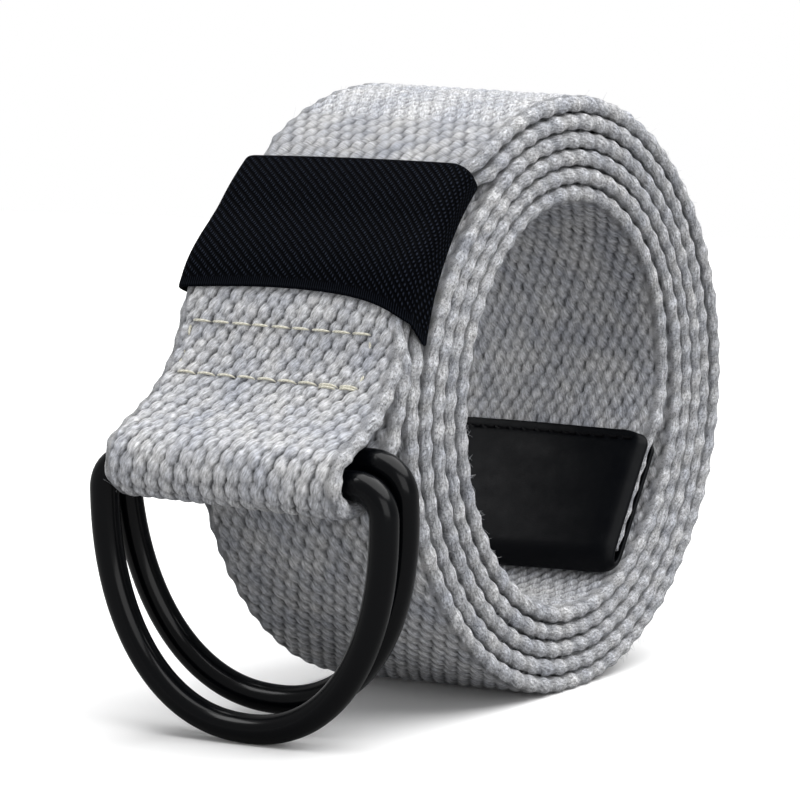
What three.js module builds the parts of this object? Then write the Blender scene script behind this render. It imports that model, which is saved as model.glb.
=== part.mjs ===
// A double ring belt, rolled up and standing on its edge beside its two rings.
// One long strap of thick woven webbing is rolled up. Its outer end leaves the roll, is folded round the
// straight bars of two black D-shaped rings, and goes back under itself. A black elastic keeper holds the
// folded end to the roll, and a black leather tip is folded over the strap's other end, inside the roll.
// Units are millimetres. X runs from the rings to the roll, Y along the roll's axis, Z up.
import * as THREE from "three";

// The webbing strap
const strapWidth = 38;
const strapThickness = 2.4;
const edgeChamfer = 0.8;

// The roll, measured halfway between its two rims
const rollRadius = 46.1;
const rimFlare = 1.15; // the far rim's radius less the near rim's
const rimRise = 0.55; // how much higher the far rim's centre is than the near rim's
const turnRoom = 0.55; // mean free room between two turns
const sideSlack = 0.25; // how much looser the turns lie at the sides than at the top and bottom
const innerTurn = 5; // whole turns between the first pass over the top and the last
const rollSag = 0.4; // how far the roll's bottom is pressed flat
const inwardStepStart = 0.7; // share of a turn after which the strap steps in by one layer
const rollStartDeg = 87; // direction from the roll's axis, counted from +X
const stationDeg = 5;

// The strap's inner end, which stands off the roll's inner wall
const innerLeaveDeg = 9;
const innerBendLength = 16.4;
const innerBendLeanDeg = 19;
const innerEndLeanDeg = 33.5;
const innerEndLength = 18.4;

// The folded outer end
const liftStartDeg = 141;
const liftEndDeg = 156.5;
const foldEndDeg = 156.5; // where the strap's outer end stops, under the keeper
const upperLeaveDeg = 166;
const lowerLeaveDeg = 164;
const sewnGap = 0.3;
const loopSlopeDeg = 29;
const loopYaw = -0.1; // X lost for each millimetre of Y
const loopRoll = 0.04; // Z gained for each millimetre of Y
const skewStartDeg = 150;
const skewEndDeg = 185;

// The two rings
const wireDiameter = 4.3;
const ringWidth = 46; // between the middles of the ring's two arms
const ringDrop = 37.4; // from the middle of the bar to the middle of the wire at the foot
const ringCorner = 4.5;
const ringFullness = 2.2; // exponent of the arc: 2 is an ellipse
const barClearance = 0.35;
const loopSlack = 0.7; // free room above the bars, which hang at the bottom of the loop
const barSpacing = 5.2;
const bendRoom = 0.7; // how far past the back bar the lower layer starts to bend up
const frontBarX = -60.3;
const frontTiltDeg = 3.5;
const backTiltDeg = 8.5;
const wireSides = 12;
const arcSteps = 44;

// The elastic keeper
const keeperWall = 1;
const keeperGap = 0.35;
const keeperStartDeg = 131;
const keeperEndDeg = 159.5;
const keeperDroopDeg = 4.5; // how far the near end of its lower edge hangs down along the strap
const keeperCorner = 1.6;
const keeperRampDeg = 16;

// The leather tip
const leatherThickness = 1;
const tipGap = 0.3;
const tipLength = 20.2; // from the strap's end to the upper edges of the leather
const tipNose = 3.2; // how far the fold of the leather lies past the strap's end
const tipWidth = 37.6;

const degrees = THREE.MathUtils.degToRad;
const smooth = (value, start, end) => THREE.MathUtils.smoothstep(value, Math.min(start, end), Math.max(start, end));
const polar = (radius, deg) => new THREE.Vector2(Math.cos(degrees(deg)), Math.sin(degrees(deg))).multiplyScalar(radius);

// The distance between the middles of two turns, which is least at the top and the bottom
function turnPitch(deg) {
  return strapThickness + turnRoom + sideSlack * Math.cos(2 * degrees(deg));
}

// The room that the keeper's inner wall takes between the first two turns on the keeper's side,
// shared out over the turns inside it
function keeperRoom(deg, turn) {
  if (turn < 1) return 0;
  const zoneEndDeg = keeperEndDeg + keeperDroopDeg;
  const zone = smooth(deg, keeperStartDeg - keeperRampDeg, keeperStartDeg)
    * (1 - smooth(deg, zoneEndDeg, zoneEndDeg + keeperRampDeg));
  const needed = keeperWall + 2 * keeperGap - (turnPitch(deg) - strapThickness);
  return zone * Math.max(0, needed) * Math.max(0, 1 - (turn - 1) / (innerTurn - 2));
}

// The radius of the strap's middle, for a number of turns clockwise past the top of the roll
function turnRadius(turns) {
  const deg = 90 - 360 * turns;
  const turn = Math.floor(turns + 1e-9);
  const layers = turn + smooth(turns - turn, inwardStepStart, 1);
  const wrapped = THREE.MathUtils.euclideanModulo(deg, 360);
  return rollRadius - strapThickness / 2 - turnPitch(deg) * layers - keeperRoom(wrapped, turn);
}

// The folded end's upper layer lies over the first turn, and lifts to make room for its lower layer
function upperRadius(deg) {
  const lift = smooth(deg, liftStartDeg, liftEndDeg);
  const sewnPitch = strapThickness + sewnGap;
  const pitch = THREE.MathUtils.lerp(turnPitch(deg), sewnPitch, lift);
  return turnRadius(1 + (90 - deg) / 360) + pitch + lift * sewnPitch;
}

const lowerRadius = (deg) => upperRadius(deg) - strapThickness - sewnGap;
const skewAt = (deg) => smooth(deg, skewStartDeg, skewEndDeg);

function angles(from, to, step) {
  const count = Math.max(1, Math.round(Math.abs(to - from) / step));
  return Array.from({ length: count + 1 }, (_, i) => from + ((to - from) * i) / count);
}

// The floor, the rings and their bars
const floorZ = rollSag - rollRadius;
const barDirection = new THREE.Vector3(loopYaw, 1, loopRoll).normalize();

// A ring's outline in its own plane: x along the bar, y down from the bar, clockwise from the bar's end
function ringOutline() {
  const half = ringWidth / 2;
  const points = [];
  for (const a of angles(90, 0, 22.5)) {
    points.push(new THREE.Vector2(half - ringCorner, ringCorner).add(
      new THREE.Vector2(Math.cos(degrees(a)), -Math.sin(degrees(a))).multiplyScalar(ringCorner)));
  }
  for (const a of angles(0, 180, 180 / arcSteps).slice(1)) {
    const c = Math.cos(degrees(a));
    const s = Math.sin(degrees(a));
    points.push(new THREE.Vector2(
      half * Math.sign(c) * Math.abs(c) ** (2 / ringFullness),
      ringCorner + (ringDrop - ringCorner) * Math.abs(s) ** (2 / ringFullness)));
  }
  for (const a of angles(180, 90, 22.5).slice(1)) {
    points.push(new THREE.Vector2(ringCorner - half, ringCorner).add(
      new THREE.Vector2(Math.cos(degrees(a)), -Math.sin(degrees(a))).multiplyScalar(ringCorner)));
  }
  return points;
}

// The directions of a ring: along its bar, down its arms, and square to its plane
function ringAxes(tiltDeg) {
  const plumb = new THREE.Vector3(0, 0, -1);
  plumb.addScaledVector(barDirection, -plumb.dot(barDirection)).normalize();
  const down = plumb.applyAxisAngle(barDirection, -degrees(tiltDeg));
  return { along: barDirection, down, across: new THREE.Vector3().crossVectors(barDirection, down) };
}

// The front ring stands on the floor, which settles the height of its bar
function footDepth(tiltDeg) {
  const { along, down } = ringAxes(tiltDeg);
  return Math.max(...ringOutline().map((p) => -(p.x * along.z + p.y * down.z))) + wireDiameter / 2;
}

const loopAlong = new THREE.Vector2(Math.cos(degrees(loopSlopeDeg)), Math.sin(degrees(loopSlopeDeg)));
const loopAcross = new THREE.Vector2(-loopAlong.y, loopAlong.x);
const frontBar = new THREE.Vector2(frontBarX, floorZ + footDepth(frontTiltDeg));
const backBar = frontBar.clone().addScaledVector(loopAlong, barSpacing);
const loopHalf = wireDiameter / 2 + barClearance + strapThickness / 2 + loopSlack / 2;
const loopFront = frontBar.clone().addScaledVector(loopAcross, loopSlack / 2);
const loopBack = backBar.clone().addScaledVector(loopAcross, loopSlack / 2);

// A grid of points as a closed body. The columns go round, and the rows go round too or end in two caps.
function gridBody(rows, rowsClosed) {
  const width = rows[0].length;
  const positions = rows.flat().flatMap((p) => [p.x, p.y, p.z]);
  const index = [];
  const spans = rowsClosed ? rows.length : rows.length - 1;
  for (let i = 0; i < spans; i++) {
    for (let j = 0; j < width; j++) {
      const a = i * width + j;
      const b = i * width + ((j + 1) % width);
      const c = ((i + 1) % rows.length) * width + ((j + 1) % width);
      const d = ((i + 1) % rows.length) * width + j;
      index.push(a, b, c, a, c, d);
    }
  }
  if (!rowsClosed) {
    const last = (rows.length - 1) * width;
    for (let j = 1; j < width - 1; j++) index.push(0, j + 1, j, last, last + j, last + j + 1);
  }
  const geometry = new THREE.BufferGeometry();
  geometry.setAttribute("position", new THREE.Float32BufferAttribute(positions, 3));
  geometry.setIndex(index);
  geometry.computeVertexNormals();
  return geometry;
}

// The middle line of the strap, from its outer end under the keeper to its inner end in the tip.
// Each station has a place in the XZ plane and the share of the loop's skew that it takes.
function bezierStations(from, fromHandle, toHandle, to, count, skewFrom, skewTo) {
  const curve = new THREE.CubicBezierCurve(from, fromHandle, toHandle, to);
  return curve.getSpacedPoints(count).map((p, i) => ({
    place: p,
    skew: THREE.MathUtils.lerp(skewFrom, skewTo, i / count),
  }));
}

function foldStations() {
  const lowerStart = polar(lowerRadius(lowerLeaveDeg), lowerLeaveDeg);
  const upperStart = polar(upperRadius(upperLeaveDeg), upperLeaveDeg);
  const lowerEnd = loopBack.clone().addScaledVector(loopAcross, -loopHalf).addScaledVector(loopAlong, bendRoom);
  const upperEnd = loopBack.clone().addScaledVector(loopAcross, loopHalf);
  const reach = upperStart.distanceTo(upperEnd);
  const tangent = (deg) => polar(1, deg + 90);
  const lower = angles(foldEndDeg, lowerLeaveDeg, stationDeg / 2).map((deg) => ({
    place: polar(lowerRadius(deg), deg),
    skew: skewAt(deg),
  }));
  const lowerBend = bezierStations(
    lowerStart,
    lowerStart.clone().addScaledVector(tangent(lowerLeaveDeg), 0.6 * reach),
    lowerEnd.clone().addScaledVector(loopAlong, 0.2 * reach),
    lowerEnd, 12, skewAt(lowerLeaveDeg), 1);
  const turn = angles(-90, -270, 20).map((a) => ({
    place: loopFront.clone()
      .addScaledVector(loopAlong, loopHalf * Math.cos(degrees(a)))
      .addScaledVector(loopAcross, loopHalf * Math.sin(degrees(a))),
    skew: 1,
  }));
  const upperBend = bezierStations(
    upperEnd,
    upperEnd.clone().addScaledVector(loopAlong, 0.33 * reach),
    upperStart.clone().addScaledVector(tangent(upperLeaveDeg), 0.33 * reach),
    upperStart, 8, 1, skewAt(upperLeaveDeg));
  const upper = angles(upperLeaveDeg, rollStartDeg, stationDeg / 2).map((deg) => ({
    place: polar(upperRadius(deg), deg),
    skew: skewAt(deg),
  }));
  return [...lower.slice(0, -1), ...lowerBend, ...turn, ...upperBend, ...upper.slice(1)];
}

function rollStations() {
  const lastDeg = 90 - 360 * innerTurn - (90 - innerLeaveDeg);
  return angles(rollStartDeg, lastDeg, stationDeg).slice(1).map((deg) => ({
    place: polar(turnRadius((90 - deg) / 360), deg),
    skew: 0,
  }));
}

const leaning = (deg) => new THREE.Vector2(-Math.sin(degrees(deg)), -Math.cos(degrees(deg)));

function innerStations() {
  const start = polar(turnRadius(innerTurn + (90 - innerLeaveDeg) / 360), innerLeaveDeg);
  const bend = start.clone().addScaledVector(leaning(innerBendLeanDeg), innerBendLength);
  const end = bend.clone().addScaledVector(leaning(innerEndLeanDeg), innerEndLength);
  const handle = innerBendLength / 3;
  const bending = bezierStations(
    start,
    start.clone().addScaledVector(leaning(-innerLeaveDeg), handle),
    bend.clone().addScaledVector(leaning(innerEndLeanDeg), -handle),
    bend, 6, 0, 0);
  const straight = angles(0, 1, 0.2).map((share) => ({ place: bend.clone().lerp(end, share), skew: 0 }));
  return [...bending.slice(1), ...straight.slice(1)];
}

// A strip of webbing or leather carried along stations: its sections are chamfered rectangles square to
// the line, flared and skewed as the roll and the loop are, and pressed flat where they meet the floor.
function stripBody(stations, width, thickness, chamfer) {
  const a = width / 2;
  const b = thickness / 2;
  const section = [
    [a, b - chamfer], [a - chamfer, b], [chamfer - a, b], [-a, b - chamfer],
    [-a, chamfer - b], [chamfer - a, -b], [a - chamfer, -b], [a, chamfer - b],
  ];
  const rows = stations.map(({ place, skew }, i) => {
    const before = stations[Math.max(0, i - 1)].place;
    const after = stations[Math.min(stations.length - 1, i + 1)].place;
    const along = after.clone().sub(before).normalize();
    const across = new THREE.Vector3(loopYaw * skew, 1, loopRoll * skew).normalize();
    return section.map(([side, out]) => {
      const point = new THREE.Vector3(place.x - along.y * out, 0, place.y + along.x * out);
      const radial = new THREE.Vector3(place.x, 0, place.y).normalize();
      const flare = (rimFlare * side) / strapWidth;
      point.addScaledVector(radial, flare * (1 - skew)).addScaledVector(across, side);
      const rise = (rimRise * side) / strapWidth;
      const below = (rollRadius + flare) * -radial.z - rise + floorZ;
      point.z += rise * (1 - skew) + Math.max(0, below);
      return point;
    });
  });
  return gridBody(rows, false);
}

const strapStations = [...foldStations(), ...rollStations(), ...innerStations()];

// The leather tip follows the strap's last stretch on both faces and turns round its end
function tipStations() {
  const places = strapStations.map((station) => station.place);
  const route = [];
  let left = tipLength;
  for (let i = places.length - 1; i > 0 && left > 0; i--) {
    const length = places[i].distanceTo(places[i - 1]);
    const along = places[i].clone().sub(places[i - 1]).normalize();
    route.unshift({ place: places[i], along });
    if (length > left) route.unshift({ place: places[i].clone().addScaledVector(along, -left), along });
    left -= length;
  }
  const offset = strapThickness / 2 + tipGap + leatherThickness / 2;
  const side = (sign) => route.map(({ place, along }) => ({
    place: new THREE.Vector2(place.x - along.y * sign * offset, place.y + along.x * sign * offset),
    skew: 0,
  }));
  const end = route[route.length - 1];
  const round = angles(90, -90, 22.5).slice(1, -1).map((a) => ({
    place: end.place.clone()
      .addScaledVector(end.along, tipNose * Math.cos(degrees(a)))
      .add(new THREE.Vector2(-end.along.y, end.along.x).multiplyScalar(offset * Math.sin(degrees(a)))),
    skew: 0,
  }));
  return [...side(1), ...round, ...side(-1).reverse()];
}

// The keeper: a flat band that goes round the folded end and the first turn, and between two turns
function keeperBody() {
  const half = strapWidth / 2 + keeperGap + keeperWall / 2;
  const stackSide = keeperGap + keeperWall / 2;
  const edge = half - keeperCorner;
  const corner = (sideways, outward, startDeg) => angles(startDeg, startDeg + 90, 22.5).map((a) => (
    { middle: sideways * edge, outward, ny: Math.cos(degrees(a)), nr: Math.sin(degrees(a)) }));
  const crossing = angles(edge, -edge, 6).slice(1, -1).map((middle) => ({ middle, outward: 1, ny: 0, nr: 1 }));
  const loop = [...corner(1, 1, 0), ...crossing, ...corner(-1, 1, 90), ...corner(-1, -1, 180), ...corner(1, -1, 270)];
  const along = angles(keeperStartDeg, keeperEndDeg, 2.8);
  const contour = [...along.map((deg) => [deg, 0.5]), ...along.slice().reverse().map((deg) => [deg, -0.5])];
  const rows = loop.map(({ middle, outward, ny, nr }) => contour.map(([deg, share]) => {
    const y = middle + ny * (keeperCorner + keeperWall * share);
    const droop = ((deg - keeperStartDeg) / (keeperEndDeg - keeperStartDeg)) * ((half - y) / (2 * half)) ** 6;
    const turned = deg + keeperDroopDeg * droop;
    const skew = skewAt(turned) * y * (loopYaw * Math.cos(degrees(turned)) + loopRoll * Math.sin(degrees(turned)));
    const stack = outward > 0
      ? upperRadius(turned) + strapThickness / 2 + stackSide + skew
      : turnRadius(1 + (90 - turned) / 360) - strapThickness / 2 - stackSide;
    const radius = stack - outward * keeperCorner + nr * (keeperCorner + keeperWall * share)
      + (rimFlare * y) / strapWidth;
    const place = polar(radius, turned);
    return new THREE.Vector3(place.x, y, place.y + (rimRise * y) / strapWidth);
  }));
  return gridBody(rows, true);
}

// A ring: round wire carried round the closed outline, with its bar on the given point
function ringBody(bar, tiltDeg) {
  const { along, down, across } = ringAxes(tiltDeg);
  const outline = ringOutline();
  const rows = outline.map((p, i) => {
    const before = outline[(i + outline.length - 1) % outline.length];
    const after = outline[(i + 1) % outline.length];
    const tangent = after.clone().sub(before).normalize();
    const centre = new THREE.Vector3(bar.x, 0, bar.y).addScaledVector(along, p.x).addScaledVector(down, p.y);
    const outward = along.clone().multiplyScalar(tangent.y).addScaledVector(down, -tangent.x);
    return Array.from({ length: wireSides }, (_, j) => {
      const a = (2 * Math.PI * (j + 0.5)) / wireSides;
      return centre.clone()
        .addScaledVector(outward, (wireDiameter / 2) * Math.cos(a))
        .addScaledVector(across, (-wireDiameter / 2) * Math.sin(a));
    });
  });
  return gridBody(rows, true);
}

function finish(color, roughness, metalness) {
  return new THREE.MeshStandardMaterial({ color, roughness, metalness });
}

function piece(name, geometry, material) {
  const mesh = new THREE.Mesh(geometry, material);
  mesh.name = name;
  return mesh;
}

const webbing = finish("#b4b6bb", 0.9, 0);
const blackPaint = finish("#0b0b0c", 0.25, 0.3);
const elastic = finish("#0e0f14", 0.85, 0);
const leather = finish("#121315", 0.55, 0);

const belt = new THREE.Group();
belt.add(
  piece("webbing_strap", stripBody(strapStations, strapWidth, strapThickness, edgeChamfer), webbing),
  piece("leather_tip", stripBody(tipStations(), tipWidth, leatherThickness, leatherThickness / 4), leather),
  piece("elastic_keeper", keeperBody(), elastic),
  piece("ring_front", ringBody(frontBar, frontTiltDeg), blackPaint),
  piece("ring_back", ringBody(backBar, backTiltDeg), blackPaint),
);

// The belt stands with the middle of its footprint on the origin
const reach = new THREE.Box3().setFromObject(belt);
belt.position.set(-(reach.min.x + reach.max.x) / 2, -(reach.min.y + reach.max.y) / 2, -reach.min.z);

export default belt;
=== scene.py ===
"""A double ring belt, rolled up and standing on its edge, with its two rings hanging in the folded end."""

import bpy
import numpy as np
from mathutils import Matrix, Vector


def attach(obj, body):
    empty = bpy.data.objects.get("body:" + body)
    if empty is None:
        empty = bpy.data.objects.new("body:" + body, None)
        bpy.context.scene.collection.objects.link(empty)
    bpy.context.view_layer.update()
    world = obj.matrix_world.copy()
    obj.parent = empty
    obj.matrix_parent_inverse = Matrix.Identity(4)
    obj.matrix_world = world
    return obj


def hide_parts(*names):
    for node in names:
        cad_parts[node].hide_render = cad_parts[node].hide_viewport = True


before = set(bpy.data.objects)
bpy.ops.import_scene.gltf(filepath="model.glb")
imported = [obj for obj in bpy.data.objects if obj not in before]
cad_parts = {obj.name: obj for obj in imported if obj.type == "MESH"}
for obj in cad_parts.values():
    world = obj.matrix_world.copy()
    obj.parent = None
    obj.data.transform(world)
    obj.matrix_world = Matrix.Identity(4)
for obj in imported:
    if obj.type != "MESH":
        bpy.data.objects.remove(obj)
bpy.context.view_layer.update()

# The studio
# A pale floor in a white room, with a broad soft light above, two weak ones in front and at the left, and a
# small one behind that shows only as a sheen on the leather and the rings. The camera looks from the left and a
# little from above, at the height of the roll.

camera = bpy.data.objects.new("camera", bpy.data.cameras.new("camera"))
bpy.context.scene.collection.objects.link(camera)
bpy.context.scene.camera = camera
camera.data.lens = 150.345
camera.data.sensor_width = 36
camera.data.clip_start = 0.01
camera.matrix_world = Matrix((
    (0.559151, 0.100238, -0.822984, -0.423994),
    (-0.829038, 0.059422, -0.556027, -0.280203),
    (-0.006832, 0.993187, 0.116327, 0.104242),
    (0, 0, 0, 1)))

world = bpy.data.worlds.new("white studio")
bpy.context.scene.world = world
world.use_nodes = True
world.node_tree.nodes["Background"].inputs["Color"].default_value = (1, 1, 1, 1)
bpy.context.scene.view_settings.view_transform = "Standard"


def soft_light(name, kind, place, power, shades=True, shines=True, **settings):
    """A lamp of one kind and power, turned from its place towards the middle of the belt. It can be left out of
    plain shading, or out of the shine on glossy surfaces."""
    lamp = bpy.data.lights.new(name, kind)
    lamp.energy = power
    for key, value in settings.items():
        setattr(lamp, key, value)
    held = bpy.data.objects.new(name, lamp)
    bpy.context.scene.collection.objects.link(held)
    held.location = place
    held.rotation_euler = (Vector((0, 0, 0.04)) - Vector(place)).to_track_quat("-Z", "Y").to_euler()
    held.visible_diffuse = shades
    held.visible_glossy = shines


soft_light("light above", "SUN", (0.16, -0.22, 0.8), 4.35, angle=1.4)
soft_light("light in front", "AREA", (-0.48, -0.86, 0.2), 3.2, size=0.7)
soft_light("light at the left", "AREA", (-0.8, 0.3, 0.06), 2.4, shines=False, size=0.5)
soft_light("light behind", "AREA", (-0.47, 0.32, 0.75), 2.5, shades=False, size=0.35)


def add(tree, kind, inputs=(), **settings):
    """A new shader node. Its settings come as named values, and its inputs as values or as sockets to link."""
    made = tree.nodes.new(kind)
    for key, value in settings.items():
        setattr(made, key, value)
    for key, value in dict(inputs).items():
        if isinstance(value, bpy.types.NodeSocket):
            tree.links.new(value, made.inputs[key])
        else:
            made.inputs[key].default_value = value
    return made


def new_material(name, colour, roughness):
    """A material with its Principled shader, its tree and that shader's inputs."""
    made = bpy.data.materials.new(name)
    made.use_nodes = True
    made.diffuse_color = (*colour, 1)
    shader = made.node_tree.nodes["Principled BSDF"]
    shader.inputs["Base Color"].default_value = (*colour, 1)
    shader.inputs["Roughness"].default_value = roughness
    return made, made.node_tree, shader.inputs


def two_tones(tree, value, low, dark, high, light):
    """The colour for a value from 0 to 1: dark below low, light above high, and blended between them."""
    ramp = add(tree, "ShaderNodeValToRGB", {"Fac": value})
    ramp.color_ramp.elements[0].position, ramp.color_ramp.elements[0].color = low, (*dark, 1)
    ramp.color_ramp.elements[1].position, ramp.color_ramp.elements[1].color = high, (*light, 1)
    return ramp.outputs["Color"]


roll_axis = np.array([10.4543, -0.2768, 45.7])


def new_piece(name, points, faces, material, uv=None, **marks):
    """A mesh piece, smooth but for its end caps. Points are in millimetres from the roll's axis, uv is per face
    corner in metres, and each mark is a value per point that the material reads as an attribute."""
    mesh = bpy.data.meshes.new(name)
    mesh.from_pydata(((points + roll_axis) / 1000).tolist(), [], [list(face) for face in faces])
    mesh.polygons.foreach_set("use_smooth", [len(face) == 4 for face in faces])
    if uv is not None:
        mesh.uv_layers.new(name="cloth").data.foreach_set("uv", np.asarray(uv, np.float32).ravel())
    for key, values in marks.items():
        mark = mesh.attributes.new(key, "FLOAT", "POINT")
        mark.data.foreach_set("value", np.asarray(values, np.float32).ravel())
    mesh.materials.append(material)
    piece = bpy.data.objects.new(name, mesh)
    bpy.context.scene.collection.objects.link(piece)
    return piece


def grid_faces(rows, columns, rows_closed=False, columns_closed=True):
    """Quads over a grid of points, as rows of four point numbers, with the rows' and columns' own numbers."""
    i, j = np.meshgrid(np.arange(rows if rows_closed else rows - 1),
                       np.arange(columns if columns_closed else columns - 1), indexing="ij")
    i, j = i.ravel(), j.ravel()
    corner_rows = np.stack([i, i, i + 1, i + 1], 1)
    corner_columns = np.stack([j, j + 1, j + 1, j], 1)
    return corner_rows % rows * columns + corner_columns % columns, corner_rows, corner_columns


def end_caps(rows, columns):
    """The two faces that close a tube made of rows of points, and their unused uv."""
    caps = [list(range(columns))[::-1], list((rows - 1) * columns + np.arange(columns))]
    return caps, np.zeros((2 * columns, 2))


# The room and the floor look nearly white to the camera, but light the belt with only a part of that.
tree = world.node_tree
camera_ray = add(tree, "ShaderNodeLightPath").outputs["Is Camera Ray"]
room_light = add(tree, "ShaderNodeMapRange", {"Value": camera_ray, "To Min": 0.36, "To Max": 1.0})
tree.links.new(room_light.outputs[0], tree.nodes["Background"].inputs["Strength"])

floor_paint, tree, shader = new_material("floor paint", (0.93, 0.93, 0.93), 0.8)
shader["Specular IOR Level"].default_value = 0.0
camera_ray = add(tree, "ShaderNodeLightPath").outputs["Is Camera Ray"]
floor_tone = add(tree, "ShaderNodeMix", {0: camera_ray, 6: (0.25, 0.25, 0.25, 1), 7: (0.96, 0.96, 0.96, 1)},
                 data_type="RGBA")
tree.links.new(floor_tone.outputs[2], shader["Base Color"])
floor_corners = 900 * np.array([[-1, -1, 0], [1, -1, 0], [1, 1, 0], [-1, 1, 0]]) - [0, 0, roll_axis[2]]
floor = new_piece("floor", floor_corners, [[0, 1, 2, 3]], floor_paint)

# The webbing strap
# One piece of thick cotton webbing, 38 mm wide, rolled up six layers deep. Its outer end is folded round the
# bars of the rings and goes back under itself, and its inner end stands off the roll's inner wall.

strap_width = 38.0
strap_thickness = 2.4
roll_radius = 46.1
# The far rim is a little wider and higher than the near one.
rim_flare, rim_rise = 1.15, 0.55
# The room between two turns, and how much more or less of it there is at the sides and at the top.
turn_room, side_slack = 0.55, 0.25
# Whole turns from the top of the roll inwards.
inner_turn = 5
pressed_flat = 0.4
floor_height = pressed_flat - roll_radius
sewn_gap = 0.3
sewn_pitch = strap_thickness + sewn_gap
# How far the loop is turned and tipped for each millimetre across the strap.
loop_yaw, loop_roll = -0.1, 0.04
# The keeper's place on the roll in degrees, the slip of its near end, and the room its inner wall takes.
keeper_from, keeper_to = 131.0, 159.5
keeper_droop = 2.8
keeper_room = 1.0


def smooth(value, start, end):
    """An S-curve from 0 at start to 1 at end."""
    t = np.clip((value - start) / (end - start), 0, 1)
    return t * t * (3 - 2 * t)


def polar(radius, deg):
    """Points at a radius and a direction in degrees, as x and z."""
    return np.stack([radius * np.cos(np.radians(deg)), radius * np.sin(np.radians(deg))], -1)


def turn_pitch(deg):
    """Distance between two turns, which is least at the top and the bottom."""
    return strap_thickness + turn_room + side_slack * np.cos(2 * np.radians(deg))


def turn_radius(turns):
    """Radius of the strap's middle: each turn steps in by one layer in its last third, and the turns on the
    keeper's side give way to the keeper's inner wall."""
    deg = 90 - 360 * turns
    turn = np.floor(turns + 1e-9)
    layers = turn + smooth(turns - turn, 0.7, 1)
    wrapped = deg % 360
    zone = smooth(wrapped, keeper_from - 16, keeper_from)
    zone = zone * (1 - smooth(wrapped, keeper_to + 4.5, keeper_to + 20.5))
    needed = np.maximum(0, keeper_room - (turn_pitch(deg) - strap_thickness))
    room = zone * needed * np.clip(1 - (turn - 1) / (inner_turn - 2), 0, 1) * (turn >= 1)
    return roll_radius - strap_thickness / 2 - turn_pitch(deg) * layers - room


def upper_radius(deg):
    """Radius of the folded end's upper layer, which lifts off the first turn to take the lower layer in."""
    lift = smooth(deg, 141, 156.5)
    pitch = turn_pitch(deg) * (1 - lift) + sewn_pitch * lift
    return turn_radius(1 + (90 - deg) / 360) + pitch + lift * sewn_pitch


def skew_at(deg):
    """Share of the loop's own turn and slope that the folded end has at a direction."""
    return smooth(deg, 150, 185)


def bezier(a, b, c, d, count):
    """A cubic curve through a and d, with b and c as its handles."""
    t = np.linspace(0, 1, count)[:, None]
    return (1 - t) ** 3 * a + 3 * (1 - t) ** 2 * t * b + 3 * (1 - t) * t * t * c + t ** 3 * d


# The rings' wire, the spacing of the two bars, and the room that a bar has in the loop.
wire_radius = 2.15
bar_spacing = 5.2
bar_room = 0.35
slope = np.radians(29)
loop_along = np.array([np.cos(slope), np.sin(slope)])
loop_across = np.array([-loop_along[1], loop_along[0]])
front_bar = np.array([-60.3, -6.231])
back_bar = front_bar + bar_spacing * loop_along
loop_half = wire_radius + 2 * bar_room + strap_thickness / 2
loop_front = front_bar + bar_room * loop_across
loop_back = back_bar + bar_room * loop_across
# The directions where the two layers of the folded end start and stop following the roll.
hidden_from, hidden_to = 156.5, 164.0
folded_from, roll_from = 166.0, 87.0
# The inner end leaves the last turn after a sweep in degrees, bends away and goes on straight.
tail_sweep, tail_bend, tail_straight = 81, 16.4, 18.4
tail_lean_start, tail_lean_middle, tail_lean_end = -9, 19, 33.5


def tangent(deg):
    """A unit step along a turn, against the clock, where the turn passes a direction."""
    return polar(1, deg + 90)


def leaning(deg):
    """A unit step downwards that leans to the left by an angle."""
    return np.array([-np.sin(np.radians(deg)), -np.cos(np.radians(deg))])


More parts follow.
